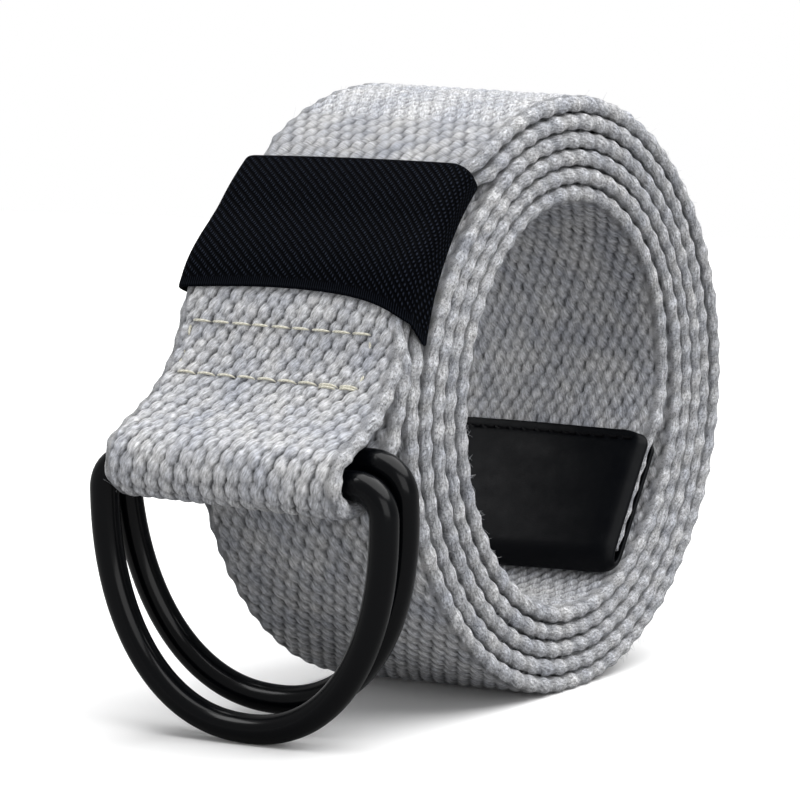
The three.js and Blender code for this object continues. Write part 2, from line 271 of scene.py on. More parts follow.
def strap_route():
    """The strap's middle line in even steps, from its outer end to its inner end, as the way along it, x, z
    and the share of skew. Cubic curves join the folded end to the loop round the bars, and the roll to the
    tail."""
    lower_start = polar(upper_radius(hidden_to) - sewn_pitch, hidden_to)
    upper_start = polar(upper_radius(folded_from), folded_from)
    lower_end = loop_back - loop_half * loop_across + 0.7 * loop_along
    upper_end = loop_back + loop_half * loop_across
    reach = np.linalg.norm(upper_start - upper_end)
    under = np.linspace(hidden_from, hidden_to, 60)
    over = np.linspace(folded_from, roll_from, 800)
    roll = np.linspace(roll_from, 90 - 360 * inner_turn - tail_sweep, 14000)
    round_bars = np.radians(np.linspace(-90, -270, 160))[:, None]
    start = polar(turn_radius(np.float64(inner_turn + tail_sweep / 360)), 90.0 - tail_sweep)
    bend = start + tail_bend * leaning(tail_lean_middle)
    end = bend + tail_straight * leaning(tail_lean_end)
    nose = np.cos(round_bars) * loop_along + np.sin(round_bars) * loop_across
    lower_leaves = lower_start + 0.6 * reach * tangent(hidden_to)
    lower_arrives = lower_end + 0.2 * reach * loop_along
    upper_leaves = upper_end + 0.33 * reach * loop_along
    upper_arrives = upper_start + 0.33 * reach * tangent(folded_from)
    tail_leaves = start + tail_bend / 3 * leaning(tail_lean_start)
    tail_arrives = bend - tail_bend / 3 * leaning(tail_lean_end)
    stretches = [
        (polar(upper_radius(under) - sewn_pitch, under), skew_at(under)),
        (bezier(lower_start, lower_leaves, lower_arrives, lower_end, 200),
         np.linspace(skew_at(hidden_to), 1, 200)),
        (loop_front + loop_half * nose, np.ones(160)),
        (bezier(upper_end, upper_leaves, upper_arrives, upper_start, 260),
         np.linspace(1, skew_at(folded_from), 260)),
        (polar(upper_radius(over), over), skew_at(over)),
        (polar(turn_radius((90 - roll) / 360), roll), np.zeros(len(roll))),
        (bezier(start, tail_leaves, tail_arrives, bend, 200), np.zeros(200)),
        (np.linspace(bend, end, 120), np.zeros(120)),
    ]
    places = np.concatenate([places[1 if k else 0:] for k, (places, _) in enumerate(stretches)])
    skews = np.concatenate([skews[1 if k else 0:] for k, (_, skews) in enumerate(stretches)])
    steps = np.linalg.norm(np.diff(places, axis=0), axis=1)
    kept = np.concatenate([[True], steps > 1e-6])
    places, skews = places[kept], skews[kept]
    run = np.concatenate([[0], np.cumsum(np.linalg.norm(np.diff(places, axis=0), axis=1))])
    even = np.arange(0, run[-1], 0.2)
    x, z, skew = (np.interp(even, run, column) for column in (places[:, 0], places[:, 1], skews))
    return even, x, z, skew


route_run, route_x, route_z, route_skew = strap_route()
bell = np.exp(-0.5 * (np.arange(-6, 7) / 2.5) ** 2)
bell /= bell.sum()
route_along = np.stack([np.gradient(route_x, route_run), np.gradient(route_z, route_run)])
route_along = np.stack([np.convolve(np.pad(row, 6, "edge"), bell, "valid") for row in route_along])
route_along /= np.linalg.norm(route_along, axis=0)


def on_strap(run, side, out):
    """Points of the strap: run millimetres along its middle line, side across it, out square to it.
    The roll is flared towards its far rim and pressed flat on the floor, and the loop is turned a little."""
    rows = route_x, route_z, route_skew, *route_along
    x, z, skew, ax, az = (np.interp(run, route_run, row) for row in rows)
    length = np.hypot(x, z)
    flare = rim_flare * side / strap_width
    rise = rim_rise * side / strap_width
    across = np.stack([loop_yaw * skew, np.ones_like(skew), loop_roll * skew])
    across = across / np.linalg.norm(across, axis=0)
    below = (roll_radius + flare) * -z / length - rise + floor_height
    spread = flare * (1 - skew)
    return np.stack([
        x - az * out + spread * x / length + across[0] * side,
        across[1] * side,
        z + ax * out + spread * z / length + across[2] * side + rise * (1 - skew) + np.maximum(0, below)], -1)


def scatter(i, j, seed):
    """A repeatable number from 0 to 1 for each cell of a lattice."""
    return np.modf(np.abs(np.sin(i * 12.9898 + j * 78.233 + seed * 37.719) * 43758.5453))[0]


# The spacing of the warp floats across the strap, and their length along it.
column_pitch = 2.2
float_length = 4.15


def woven_face(run, side):
    """Height of the webbing's face, 0 in the holes and 1 on the crowns. Every warp float is a leaning oval
    dome, and two sets of domes, half a pitch apart both ways, fill the face like scales. Past the folded end
    the domes lean the other way, are longer and fall off less steeply."""
    past_fold = smooth(run, 80, 110)
    lean = 0.35 - 0.47 * past_fold
    roundness = 0.5 + 0.25 * past_fold
    shortness = 2.8 - 0.25 * past_fold

    def ovals(u, v, seed):
        i, j = np.round(u), np.round(v)
        y = v - j + 0.06 * (scatter(i, j, seed) - 0.5)
        x = u - i + lean * y + 0.1 * (scatter(i, j, seed + 1) - 0.5)
        dome = 1 - (1.98 * x) ** 2 - (shortness * y) ** 2
        return np.clip(dome, 0, 1) ** roundness * (0.86 + 0.14 * scatter(i, j, seed + 2))

    drift = 0.19 * (np.clip(run, 30, 56) - 56)
    u = (side - drift + 0.18 * np.sin(run * 0.13)) / column_pitch
    v = (run + 0.3 * np.sin(side * 0.31) + 0.22 * np.sin(run * 0.11)) / float_length
    return np.maximum(ovals(u, v, 0), ovals(u - 0.5, v - 0.5, 5))


def braided_edge(run, turn, side_sign):
    """Height of the selvedge: one soft knot for each float, slanted as it goes round the edge, with the weft's
    small loops between the knots."""
    lobe = (run + 0.6 * turn + 0.8 * side_sign) / float_length
    knot = 0.5 + 0.5 * np.cos(2 * np.pi * lobe)
    loops = 0.5 + 0.5 * np.cos(2 * np.pi * (3 * lobe + 0.5 * turn))
    size = 0.7 + 0.3 * scatter(np.round(lobe), side_sign + 0 * lobe, 9)
    return size * (0.35 + 0.65 * knot ** 1.4) + 0.12 * loops * (1 - np.abs(turn) ** 2)


def across_strap(flat, step):
    """Places across a face from its far to its near side. Where a face is hidden and coarse, the four
    millimetres by the near rim that show between the turns stay fine."""
    if step < 2:
        return np.linspace(flat, -flat, int(round(2 * flat / step)) + 1)
    return np.concatenate([np.linspace(flat, 4 - flat, 5)[:-1], np.linspace(4 - flat, -flat, 9)])


def strap_section(face_step, back_step, edge_count):
    """The section of the webbing as side, out, their outward normal and the way round it, from the outer
    face's far side, round the near edge, over the inner face and back."""
    half, radius = strap_width / 2, strap_thickness / 2
    flat = half - radius
    turn = np.linspace(90, -90, edge_count + 2)[1:-1]
    face, back = across_strap(flat, face_step), across_strap(flat, back_step)[::-1]
    bend = np.radians(turn)
    side = np.concatenate([face, -flat - radius * np.cos(bend), back, flat + radius * np.cos(bend)])
    out = np.concatenate([np.full(len(face), radius), radius * np.sin(bend), np.full(len(back), -radius),
                          -radius * np.sin(bend)])
    n_side = np.concatenate([0 * face, -np.cos(bend), 0 * back, np.cos(bend)])
    n_out = np.concatenate([0 * face + 1, np.sin(bend), 0 * back - 1, -np.sin(bend)])
    steps = np.hypot(np.diff(side, append=side[0]), np.diff(out, append=out[0]))
    way = np.concatenate([[0], np.cumsum(steps)])
    return side, out, n_side, n_out, way


route_turn = np.degrees(np.unwrap(np.arctan2(route_z, route_x)))
past_loop = slice(int(np.argmax(route_turn)), None)


def run_at(deg):
    """How far along the strap its roll passes a direction, counted down from the keeper."""
    return float(np.interp(-deg, -route_turn[past_loop], route_run[past_loop]))


# The keeper grips the hidden end, the folded end and the first turn.
keeper_grips = ((-9, 8), (run_at(157), run_at(127.4)), (run_at(157 - 360), run_at(127.4 - 360)))
leather_leg = 20.2
under_keeper, after_first_turn = run_at(146), run_at(146 - 360)
last_turn, tail_start = run_at(-1341), run_at(-1791)


def gripped(run, side):
    """1 where the keeper squeezes the strap, both on the folded end and on the first turn, and 0 elsewhere.
    It starts lower at the near edge, as the keeper does."""
    droop = 5 * np.clip((strap_width / 2 - side) / strap_width, 0, 1) ** 5
    return sum(smooth(run, start - 3 - droop, start + 1 - droop) * (1 - smooth(run, end - 1, end + 3))
               for start, end in keeper_grips)


# The two long seams as places along the strap, and their ends across it.
seam_runs = (59.6, 68.15)
seam_near, seam_far, seam_stitches = -14.1, 16.5, 9


def seam_pull(run, side):
    """How far the stitching pulls the cloth in: a shallow furrow along each seam, and a pit at each hole."""
    pitch = (seam_far - seam_near) / seam_stitches
    inside = smooth(side, seam_near - 0.6, seam_near) * (1 - smooth(side, seam_far, seam_far + 0.6))
    to_hole = (side - seam_near + pitch / 2) % pitch - pitch / 2
    furrow, pit = 0.12, 0.5
    return sum(inside * (furrow * np.exp(-((run - at) / 0.55) ** 2)
                         + pit * np.exp(-(((run - at) / 0.4) ** 2 + (to_hole / 0.33) ** 2)))
               for at in seam_runs)


face_sunk, face_relief = 0.42, 0.66
edge_sunk, edge_relief = 0.2, 0.5
# How dark the painted shade on the covered flanks of the selvedge is.
covered_shade = 0.42


def webbing_length(name, start, end, run_step, face_step, back_step, edge_count, material):
    """A length of the strap with its woven faces and braided edges, closed at both ends. The relief raises the
    surface along its normal. It is calmer at the top, where the cloth is drawn tight, and under the keeper. The
    material reads it too as painted shade, darker in the holes of the weave, between the selvedge's knots and
    in the seams' furrows and pits, and darker still where a neighbouring turn covers the selvedge's flanks. The
    turns wander sideways by a fraction of a millimetre. The keeper narrows the strap, and the leather tucks it
    in."""
    side, out, n_side, n_out, way = strap_section(face_step, back_step, edge_count)
    run = np.linspace(start, end, int(round((end - start) / run_step)) + 1)[:, None]
    selvedge = smooth(np.abs(side), strap_width / 2 - 1.5, strap_width / 2 - 0.6)[None, :]
    turn = np.degrees(np.arctan2(n_out, np.abs(n_side) + 1e-9))[None, :] / 90
    face = woven_face(run + np.where(out < 0, 1.3, 0)[None, :], side[None, :])
    edge = braided_edge(run, turn, np.sign(side)[None, :])
    pull = seam_pull(run, side[None, :]) * (out > 0)[None, :]
    calm = 1 - 0.25 * smooth(run, run_at(130), run_at(95)) * (1 - smooth(run, run_at(70), run_at(20)))
    # Painted shade: the colour darkens in the weave's holes, between the selvedge's knots and in the seams.
    height = (face * (1 - selvedge) + (0.3 + 0.7 * edge) * selvedge) * np.clip(1 - 1.5 * pull, 0, 1)
    # The painted shade is evened out where the relief is calm.
    height = height * calm + 0.85 * (1 - calm)
    covered = np.where(out < 0, 1 - smooth(run, last_turn, last_turn + 5),
                       smooth(run, after_first_turn - 5, after_first_turn))
    # Painted shade on the selvedge's flanks where a neighbouring turn covers them.
    height = height * (1 - covered_shade * selvedge * turn ** 2 * covered)
    grip = gripped(run, side[None, :])
    lifted = (face_relief * face - face_sunk) * calm * (1 - selvedge)
    lifted = lifted + (edge_relief * edge - edge_sunk) * selvedge
    lifted = lifted * (1 - 0.7 * grip) - pull - 0.35 * grip
    tucked = smooth(run, route_run[-1] - leather_leg - 2.5, route_run[-1] - leather_leg + 1)
    wander = (1 - grip) * (0.22 * np.sin(run / 41.0 + 1.0) + 0.14 * np.sin(run / 17.3))
    wander = wander + 0.6 * np.exp(-((run - tail_start - 1.5) / 8) ** 2)
    narrowed = 1 - np.where(side < 0, 0.05, 0)[None, :] * grip - 0.028 * tucked
    moved_side = (side[None, :] + n_side[None, :] * lifted) * narrowed + wander
    moved_out = out[None, :] + n_out[None, :] * lifted - 0.22 * grip * np.where(run < 150, 1, -1)
    moved_out = moved_out * (1 - 0.62 * tucked * smooth(np.abs(side), 15.8, 18.4)[None, :])
    points = on_strap(np.broadcast_to(run, moved_side.shape), moved_side, moved_out)
    rows, columns = moved_side.shape
    faces, corner_rows, corner_columns = grid_faces(rows, columns)
    uv = np.stack([way[corner_columns], run[corner_rows, 0]], -1) / 1000
    caps, cap_uv = end_caps(rows, columns)
    piece = new_piece(name, points.reshape(-1, 3), [*faces.tolist(), *caps], material,
                      np.concatenate([uv.reshape(-1, 2), cap_uv]), relief=height,
                      edging=np.broadcast_to(selvedge, height.shape))
    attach(piece, "strap")
    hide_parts("webbing_strap")


# Fine strands of yarn, drawn out along one direction, as a height from 0 to 1.
fibres = bpy.data.node_groups.new("yarn fibres", "ShaderNodeTree")
fibres.interface.new_socket("Vector", in_out="INPUT", socket_type="NodeSocketVector")
fibres.interface.new_socket("Lean", in_out="INPUT", socket_type="NodeSocketFloat")
fibres.interface.new_socket("Fineness", in_out="INPUT", socket_type="NodeSocketFloat")
fibres.interface.new_socket("Height", in_out="OUTPUT", socket_type="NodeSocketFloat")
group_in = fibres.nodes.new("NodeGroupInput")
group_out = fibres.nodes.new("NodeGroupOutput")
turned = add(fibres, "ShaderNodeVectorRotate", {"Vector": group_in.outputs["Vector"],
                                                "Angle": group_in.outputs["Lean"]}, rotation_type="Z_AXIS")
drawn = add(fibres, "ShaderNodeVectorMath", {0: turned.outputs[0], 1: (1, 0.28, 1)}, operation="MULTIPLY")
strands = add(fibres, "ShaderNodeTexNoise", {"Vector": drawn.outputs[0], "Scale": group_in.outputs["Fineness"],
                                             "Detail": 4.0, "Roughness": 0.7})
combed = add(fibres, "ShaderNodeMapRange", {"Value": strands.outputs["Fac"], "From Min": 0.36,
                                            "From Max": 0.62})
fibres.links.new(combed.outputs[0], group_out.inputs["Height"])

# Heathered cotton with painted shade in the holes of the weave, a sheen of fine strands and more specks
# on its edges.
webbing, tree, shader = new_material("cotton webbing", (0.56, 0.57, 0.6), 0.92)
shader["Sheen Weight"].default_value = 0.1
shader["Sheen Roughness"].default_value = 0.5
shader["Specular IOR Level"].default_value = 0.2
cloth = add(tree, "ShaderNodeUVMap", uv_map="cloth").outputs["UV"]
relief = add(tree, "ShaderNodeAttribute", attribute_name="relief").outputs["Fac"]
edging = add(tree, "ShaderNodeAttribute", attribute_name="edging").outputs["Fac"]
along_strap = add(tree, "ShaderNodeSeparateXYZ", {"Vector": cloth}).outputs["Y"]
lean = add(tree, "ShaderNodeMapRange", {"Value": along_strap, "From Min": 0.08, "From Max": 0.11,
                                        "To Min": 0.5, "To Max": -0.4})
lean = add(tree, "ShaderNodeMix", {0: edging, 2: lean.outputs[0], 3: 0.12})
strand = add(tree, "ShaderNodeGroup", {"Vector": cloth, "Lean": lean.outputs[0], "Fineness": 3000.0},
             node_tree=fibres)
heather = add(tree, "ShaderNodeTexNoise", {"Vector": cloth, "Scale": 130.0, "Detail": 6.0, "Roughness": 0.72})
tints = two_tones(tree, heather.outputs["Fac"], 0.36, (0.5, 0.52, 0.575), 0.62, (0.73, 0.73, 0.74))
# Painted shade: the colour darkens as the relief falls, down to the holes of the weave.
depth_shade = add(tree, "ShaderNodeMapRange", {"Value": relief, "From Min": 0.0, "From Max": 0.76,
                                         "To Min": 0.14, "To Max": 1.03})
speckle = add(tree, "ShaderNodeMapRange", {"Value": strand.outputs["Height"], "To Min": 0.5, "To Max": 1.2})
tufts = add(tree, "ShaderNodeGroup", {"Vector": cloth, "Lean": 0.45, "Fineness": 2000.0}, node_tree=fibres)
curls = add(tree, "ShaderNodeMapRange", {"Value": tufts.outputs["Height"], "From Max": 0.6,
                                         "To Min": 0.72, "To Max": 1.03})
specks = add(tree, "ShaderNodeTexNoise", {"Vector": cloth, "Scale": 2900.0, "Detail": 3.0, "Roughness": 0.6})
specks = add(tree, "ShaderNodeMapRange", {"Value": specks.outputs["Fac"], "From Min": 0.36, "From Max": 0.5,
                                          "To Min": 0.56, "To Max": 1.06})
curls = add(tree, "ShaderNodeMath", {0: curls.outputs[0], 1: specks.outputs[0]}, operation="MULTIPLY")
curls = add(tree, "ShaderNodeMix", {0: edging, 2: 1.0, 3: curls.outputs[0]})
shade = add(tree, "ShaderNodeMath", {0: depth_shade.outputs[0], 1: speckle.outputs[0]}, operation="MULTIPLY")
shade = add(tree, "ShaderNodeMath", {0: shade.outputs[0], 1: curls.outputs[0]}, operation="MULTIPLY")
toned = add(tree, "ShaderNodeMix", {0: 1.0, 6: tints, 7: shade.outputs[0]},
            data_type="RGBA", blend_type="MULTIPLY")
bump = add(tree, "ShaderNodeBump", {"Strength": 0.8, "Distance": 0.00022, "Height": strand.outputs["Height"]})
tree.links.new(toned.outputs[2], shader["Base Color"])
tree.links.new(bump.outputs["Normal"], shader["Normal"])

webbing_length("webbing_hidden_end", 0, 24, 0.5, 0.6, 0.6, 9, webbing)
webbing_length("webbing_folded_end", 24, under_keeper, 0.25, 0.25, 1.0, 15, webbing)
webbing_length("webbing_first_turn", under_keeper, after_first_turn, 0.42, 0.33, 6, 11, webbing)
webbing_length("webbing_middle_turns", after_first_turn, last_turn, 0.6, 6, 6, 11, webbing)
webbing_length("webbing_inner_turn", last_turn, float(route_run[-1]), 0.45, 6, 0.45, 9, webbing)

# The loose fibres
# Short ends of cotton that have worked loose along the webbing's rims, more of them on the near rim. Each leans
# its own way, and there are none where the keeper or the leather covers the rim.


def cotton_fuzz(name, count, material):
    """Fibres as thin tubes of three rings. A fibre starts at a random place of the selvedge and goes out of it
    by a random reach, with a random lean along the strap and a random curve that grows with the square of the
    way. On the loop the fibres lean away from the rings."""
    rng = np.random.default_rng(7)
    loop_run, near_share = 60, 0.65
    run = rng.uniform(30, float(route_run[-1]) - leather_leg - 3, count)
    hem = np.where(rng.random(count) < near_share, -1, 1)
    bend = rng.uniform(-1.2, 1.2, count)
    bend = np.where(run < loop_run, np.abs(bend), bend)
    reach = 0.2 + 0.6 * rng.random(count) ** 2
    lean, curve = rng.normal(0, 1.1, count), rng.normal(0, 0.5, count)
    t = np.array([0.0, 0.5, 1.0])[:, None]
    radius = strap_thickness / 2 - 0.1
    out = radius * np.sin(bend) + reach * t * np.sin(bend) + curve * t ** 2
    side = hem * (strap_width / 2 - strap_thickness / 2 + radius * np.cos(bend) + reach * t * np.cos(bend))
    along = run + reach * t * lean + curve * t ** 2
    near_rim = np.full(count, -strap_width / 2)
    keep = gripped(run, near_rim) + gripped(run - 1.5, near_rim) < 0.01
    line = on_strap(along.ravel(), side.ravel(), out.ravel()).reshape(3, count, 3)[:, keep]
    line[..., 2] = np.maximum(line[..., 2], floor_height + 0.04)
    ahead = np.gradient(line, axis=0)
    first = np.cross(ahead, [0.3, 0.2, 0.9])
    first /= np.linalg.norm(first, axis=2, keepdims=True)
    second = np.cross(ahead, first)
    second /= np.linalg.norm(second, axis=2, keepdims=True)
    thick = np.array([0.026, 0.022, 0.01])[:, None, None]
    angles = np.radians([0, 120, 240])
    rings = [line + thick * (np.cos(angle) * first + np.sin(angle) * second) for angle in angles]
    points = np.stack(rings, 2).transpose(1, 0, 2, 3).reshape(-1, 3)
    faces, _, _ = grid_faces(3, 3)
    numbers = 9 * np.arange(keep.sum())[:, None, None]
    piece = new_piece(name, points, (faces[None] + numbers).reshape(-1, 4).tolist(), material)
    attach(piece, "strap")


fluff, tree, shader = new_material("cotton fluff", (0.6, 0.61, 0.63), 0.9)
shader["Specular IOR Level"].default_value = 0.1
spot = add(tree, "ShaderNodeTexCoord").outputs["Object"]
shades = add(tree, "ShaderNodeTexNoise", {"Vector": spot, "Scale": 900.0})
tree.links.new(two_tones(tree, shades.outputs["Fac"], 0.35, (0.42, 0.44, 0.48), 0.65, (0.72, 0.73, 0.74)),
               shader["Base Color"])
cotton_fuzz("webbing_fuzz", 6000, fluff)

# The cream stitching
# A rectangle of cream cotton lockstitch, sewn through both layers of the folded end between the keeper and the
# rings. Its long sides lie open on the weave, and its short sides have nearly sunk into it.


def thread_stitches(name, ends, radius, rise, material):
    """One mesh of short threads. Each goes from its first to its last point in a low arch and tapers into the
    cloth. The ends are pairs of run, side and out, in millimetres."""
    ends = np.asarray(ends, float)
    t = np.linspace(0, 1, 11)
    arch = np.sin(np.pi * t) ** 0.4
    middle = ends[:, 0, None] + (ends[:, 1] - ends[:, 0])[:, None] * t[None, :, None]
    sunk = 0.6
    middle[:, :, 2] += rise * arch - sunk * (1 - arch)
    run, side, lift = middle[..., 0].ravel(), middle[..., 1].ravel(), middle[..., 2].ravel()
    line = on_strap(run, side, lift).reshape(*middle.shape)
    along = np.gradient(line, axis=1)
    along /= np.linalg.norm(along, axis=2, keepdims=True)
    out = line - on_strap(run, side, lift - 1).reshape(*line.shape)
    sideways = np.cross(along, out)
    sideways /= np.linalg.norm(sideways, axis=2, keepdims=True)
    upward = np.cross(sideways, along)
    a = np.linspace(0, 2 * np.pi, 8, endpoint=False)
    thick = radius * (0.35 + 0.65 * np.sin(np.pi * t) ** 0.4)
    ring = (np.cos(a)[:, None] * sideways[:, :, None, :] + np.sin(a)[:, None] * upward[:, :, None, :])
    points = line[:, :, None, :] + thick[None, :, None, None] * ring
    faces, corner_rows, corner_columns = grid_faces(len(t), len(a))
    each = len(t) * len(a)
    caps, cap_uv = end_caps(len(t), len(a))
    all_faces, all_uv = [], []
    for k in range(len(ends)):
        all_faces += (faces + k * each).tolist() + [[c + k * each for c in cap] for cap in caps]
        all_uv.append(np.stack([corner_columns * radius * 0.785, corner_rows * 0.3], -1).reshape(-1, 2))
        all_uv.append(cap_uv)
    piece = new_piece(name, points.reshape(-1, 3), all_faces, material, np.concatenate(all_uv) / 1000)
    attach(piece, "strap")


def seam(start, end, pitch, length, out):
    """Stitches of one length along a straight seam, from start to end as run and side."""
    start, end = np.array(start, float), np.array(end, float)
    whole = np.linalg.norm(end - start)
    count = int(round(whole / pitch))
    gap = (whole / count - length) / 2
    return [[(*(start + (end - start) * (k * whole / count + gap) / whole), out),
             (*(start + (end - start) * ((k + 1) * whole / count - gap) / whole), out)] for k in range(count)]


def twisted_thread(name, colour, roughness):
    """A material with the thread's twist in relief, its tree, its shader's inputs and the twist's height."""
    made, tree, shader = new_material(name, colour, roughness)
    along_thread = add(tree, "ShaderNodeUVMap", uv_map="cloth").outputs["UV"]
    twist = add(tree, "ShaderNodeGroup", {"Vector": along_thread, "Lean": 0.6, "Fineness": 6000.0},
                node_tree=fibres)
    height = twist.outputs["Height"]
    bump = add(tree, "ShaderNodeBump", {"Strength": 0.6, "Distance": 0.0001, "Height": height})
    tree.links.new(bump.outputs["Normal"], shader["Normal"])
    return made, tree, shader, height


cream, tree, shader, twist = twisted_thread("cream thread", (0.66, 0.63, 0.5), 0.6)
shader["Sheen Weight"].default_value = 0.3
tree.links.new(two_tones(tree, twist, 0.3, (0.47, 0.445, 0.34), 0.7, (0.83, 0.81, 0.7)), shader["Base Color"])

seam_out = strap_thickness / 2 + 0.02
lower_seam, upper_seam = seam_runs
pitch = (seam_far - seam_near) / seam_stitches
long_seams = seam((upper_seam, seam_far), (upper_seam, seam_near), pitch, pitch - 0.3, seam_out)
long_seams += seam((lower_seam, seam_far), (lower_seam, seam_near), pitch, pitch - 0.3, seam_out)
long_seams += seam((lower_seam - 0.45, seam_near + 2 * pitch), (lower_seam - 0.4, seam_near),
                   pitch, pitch - 0.5, seam_out)
short_seams = seam((lower_seam, seam_near), (upper_seam, seam_near), 2.9, 2.5, seam_out - 0.3)
short_seams += seam((lower_seam, seam_far), (upper_seam, seam_far), 2.9, 2.5, seam_out - 0.34)
thread_stitches("cream_stitches", long_seams + short_seams, 0.21, 0.14, cream)

# The elastic keeper
# A flat black band of woven elastic with a fine diagonal rib and a firm rib along each edge. It goes round the
# folded end and the first turn, and its near end has slipped down a little.

keeper_wall, keeper_gap, keeper_corner, keeper_inner_corner = 0.7, -0.1, 2.4, 1.2


def keeper_mesh():
    """The band as a grid: round the strap by rows, and round the band's own section by columns. A row is its
    share of the way to a side and outwards, with its normal, and an arc of rows joins each two sides. At the
    near rim the band's edges turn down the strap, by the ninth power of the nearness."""
    bend = np.radians(np.linspace(0, 90, 10))
    side_wall = np.linspace(1, -1, 12)[1:-1]
    rows = [(1, 1, np.cos(a), np.sin(a)) for a in bend]
    rows += [(share, 1, 0, 1) for share in np.linspace(1, -1, 90)[1:-1]]
    rows += [(-1, 1, -np.sin(a), np.cos(a)) for a in bend]
    rows += [(-1, w, -1, 0) for w in side_wall]
    rows += [(-1, -1, -np.cos(a), -np.sin(a)) for a in bend]
    rows += [(share, -1, 0, -1) for share in np.linspace(-1, 1, 20)[1:-1]]
    rows += [(1, -1, np.sin(a), -np.cos(a)) for a in bend]
    rows += [(1, w, 1, 0) for w in side_wall[::-1]]
    middle, outward, ny, nr = (column[:, None] for column in np.array(rows).T)
    round_edge = np.radians(np.linspace(0, 180, 9))
    ends = keeper_wall / 2 / roll_radius * 57.3
    deg = np.concatenate([np.linspace(keeper_from + ends, keeper_to - ends, 64),
                          keeper_to - ends + ends * np.sin(round_edge),
                          np.linspace(keeper_to - ends, keeper_from + ends, 14)[1:-1],
                          keeper_from + ends - ends * np.sin(round_edge)])[None, :]
    share = np.concatenate([np.full(64, 0.5), 0.5 * np.cos(round_edge), np.full(12, -0.5),
                            -0.5 * np.cos(round_edge)])[None, :]
    along = (deg - keeper_from) / (keeper_to - keeper_from)
    corner = np.where(outward > 0.99, keeper_corner, keeper_inner_corner)
    corner = np.where(np.abs(outward) < 0.99, corner + (keeper_corner - corner) * (outward + 1) / 2, corner)
    # The band stands a little off the far rim and sits tight on the near one.
    reach = np.where(middle > 0, strap_width / 2 + 1.9 - 0.3 * along, strap_width / 2 - 0.9 + 0.5 * along)
    y = middle * (reach - corner) + ny * (corner + keeper_wall * share)
    nearness = np.clip((strap_width / 2 - y) / strap_width, 0, 1.01)
    slipped = nearness ** 9 * (keeper_droop + 1.5 * (1 - outward))
    turned = deg + along * (slipped - 1.2 * np.sin(np.pi * nearness))
    turned = turned - (1 - along) * (0.8 + 1.5 * nearness * (2 - nearness))
    yawed, rolled = loop_yaw * np.cos(np.radians(turned)), loop_roll * np.sin(np.radians(turned))
    skew = skew_at(turned) * y * (yawed + rolled)
    off_strap = strap_thickness / 2 + keeper_gap + keeper_wall / 2
    outer = upper_radius(turned) + off_strap + skew - keeper_corner
    inner = turn_radius(1 + (90 - turned) / 360) - off_strap
    inner = inner + keeper_inner_corner + 1.3 * (1 - along) * nearness ** 9
    stack = inner + (outer - inner) * (outward + 1) / 2
    radius = stack + nr * (corner + keeper_wall * share) + rim_flare * y / strap_width
    place = polar(radius, turned)
    points = np.stack([place[..., 0], y, place[..., 1] + rim_rise * y / strap_width], -1)
    firm = np.broadcast_to(1 - smooth(np.minimum(3 * along, 1 - along), 0.05, 0.07), y.shape)
    way = np.concatenate([[0], np.cumsum(np.linalg.norm(np.diff(points[:, 32], axis=0), axis=1))])
    way = np.append(way, way[-1] + 0.5)
    across = np.append(np.cumsum(np.r_[0, np.linalg.norm(np.diff(points[40], axis=0), axis=1)]), 0)
    return points, way, across, firm


points, way, across, firm = keeper_mesh()
faces, corner_rows, corner_columns = grid_faces(*points.shape[:2], rows_closed=True)

# A diagonal rib broken up by fine knots, and straight ribs on the firm edges. The black is lighter on the
# raised ribs and knots, as a painted highlight.
elastic, tree, shader = new_material("black elastic", (0.005, 0.006, 0.01), 0.7)
shader["Specular IOR Level"].default_value = 0.02
band = add(tree, "ShaderNodeUVMap", uv_map="cloth").outputs["UV"]
firmness = add(tree, "ShaderNodeAttribute", attribute_name="firm").outputs["Fac"]
rising = add(tree, "ShaderNodeVectorRotate", {"Vector": band, "Angle": 0.87}, rotation_type="Z_AXIS")
falling = add(tree, "ShaderNodeVectorRotate", {"Vector": band, "Angle": -0.35}, rotation_type="Z_AXIS")
diagonal = add(tree, "ShaderNodeTexWave", {"Vector": rising.outputs[0], "Scale": 341.0, "Distortion": 0.9,
                                           "Detail": 1.0, "Detail Scale": 2.0})
knots = add(tree, "ShaderNodeTexWave", {"Vector": falling.outputs[0], "Scale": 600.0, "Distortion": 2.6,
                                        "Detail": 1.0, "Detail Scale": 2.0})
knots = add(tree, "ShaderNodeMapRange", {"Value": knots.outputs["Fac"], "To Min": 0.1, "To Max": 1.0})
ribs = add(tree, "ShaderNodeTexWave", {"Vector": band, "Scale": 850.0, "Distortion": 0.4})
twill = add(tree, "ShaderNodeMath", {0: diagonal.outputs["Fac"], 1: knots.outputs[0]}, operation="MULTIPLY")
soft_ribs = add(tree, "ShaderNodeMath", {0: ribs.outputs["Fac"], 1: 0.62}, operation="MULTIPLY")
height = add(tree, "ShaderNodeMix", {0: firmness, 2: twill.outputs[0], 3: soft_ribs.outputs[0]})
# Black, with a painted highlight that lightens the raised ribs and knots.
black_with_painted_highlight = two_tones(tree, height.outputs[0], 0.35, (0.0002, 0.0004, 0.001), 0.95, (0.016, 0.02, 0.031))
bump = add(tree, "ShaderNodeBump", {"Strength": 0.8, "Distance": 0.0003, "Height": height.outputs[0]})
tree.links.new(black_with_painted_highlight, shader["Base Color"])
tree.links.new(bump.outputs["Normal"], shader["Normal"])

keeper = new_piece("elastic_band", points.reshape(-1, 3), faces.tolist(), elastic,
                   np.stack([way[corner_rows], across[corner_columns]], -1) / 1000, firm=firm)
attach(keeper, "strap")
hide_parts("elastic_keeper")

# The leather tip
# One piece of black satin leather folded over the strap's inner end and sewn through near its upper edge.
# The webbing's selvedge shows between its two legs at the near and the far rim.

leather_thick, leather_half, leather_nose, leather_closing = 1.0, 18.9, 3.2, 0.8
leather_out = strap_thickness / 2 + 0.3 + leather_thick


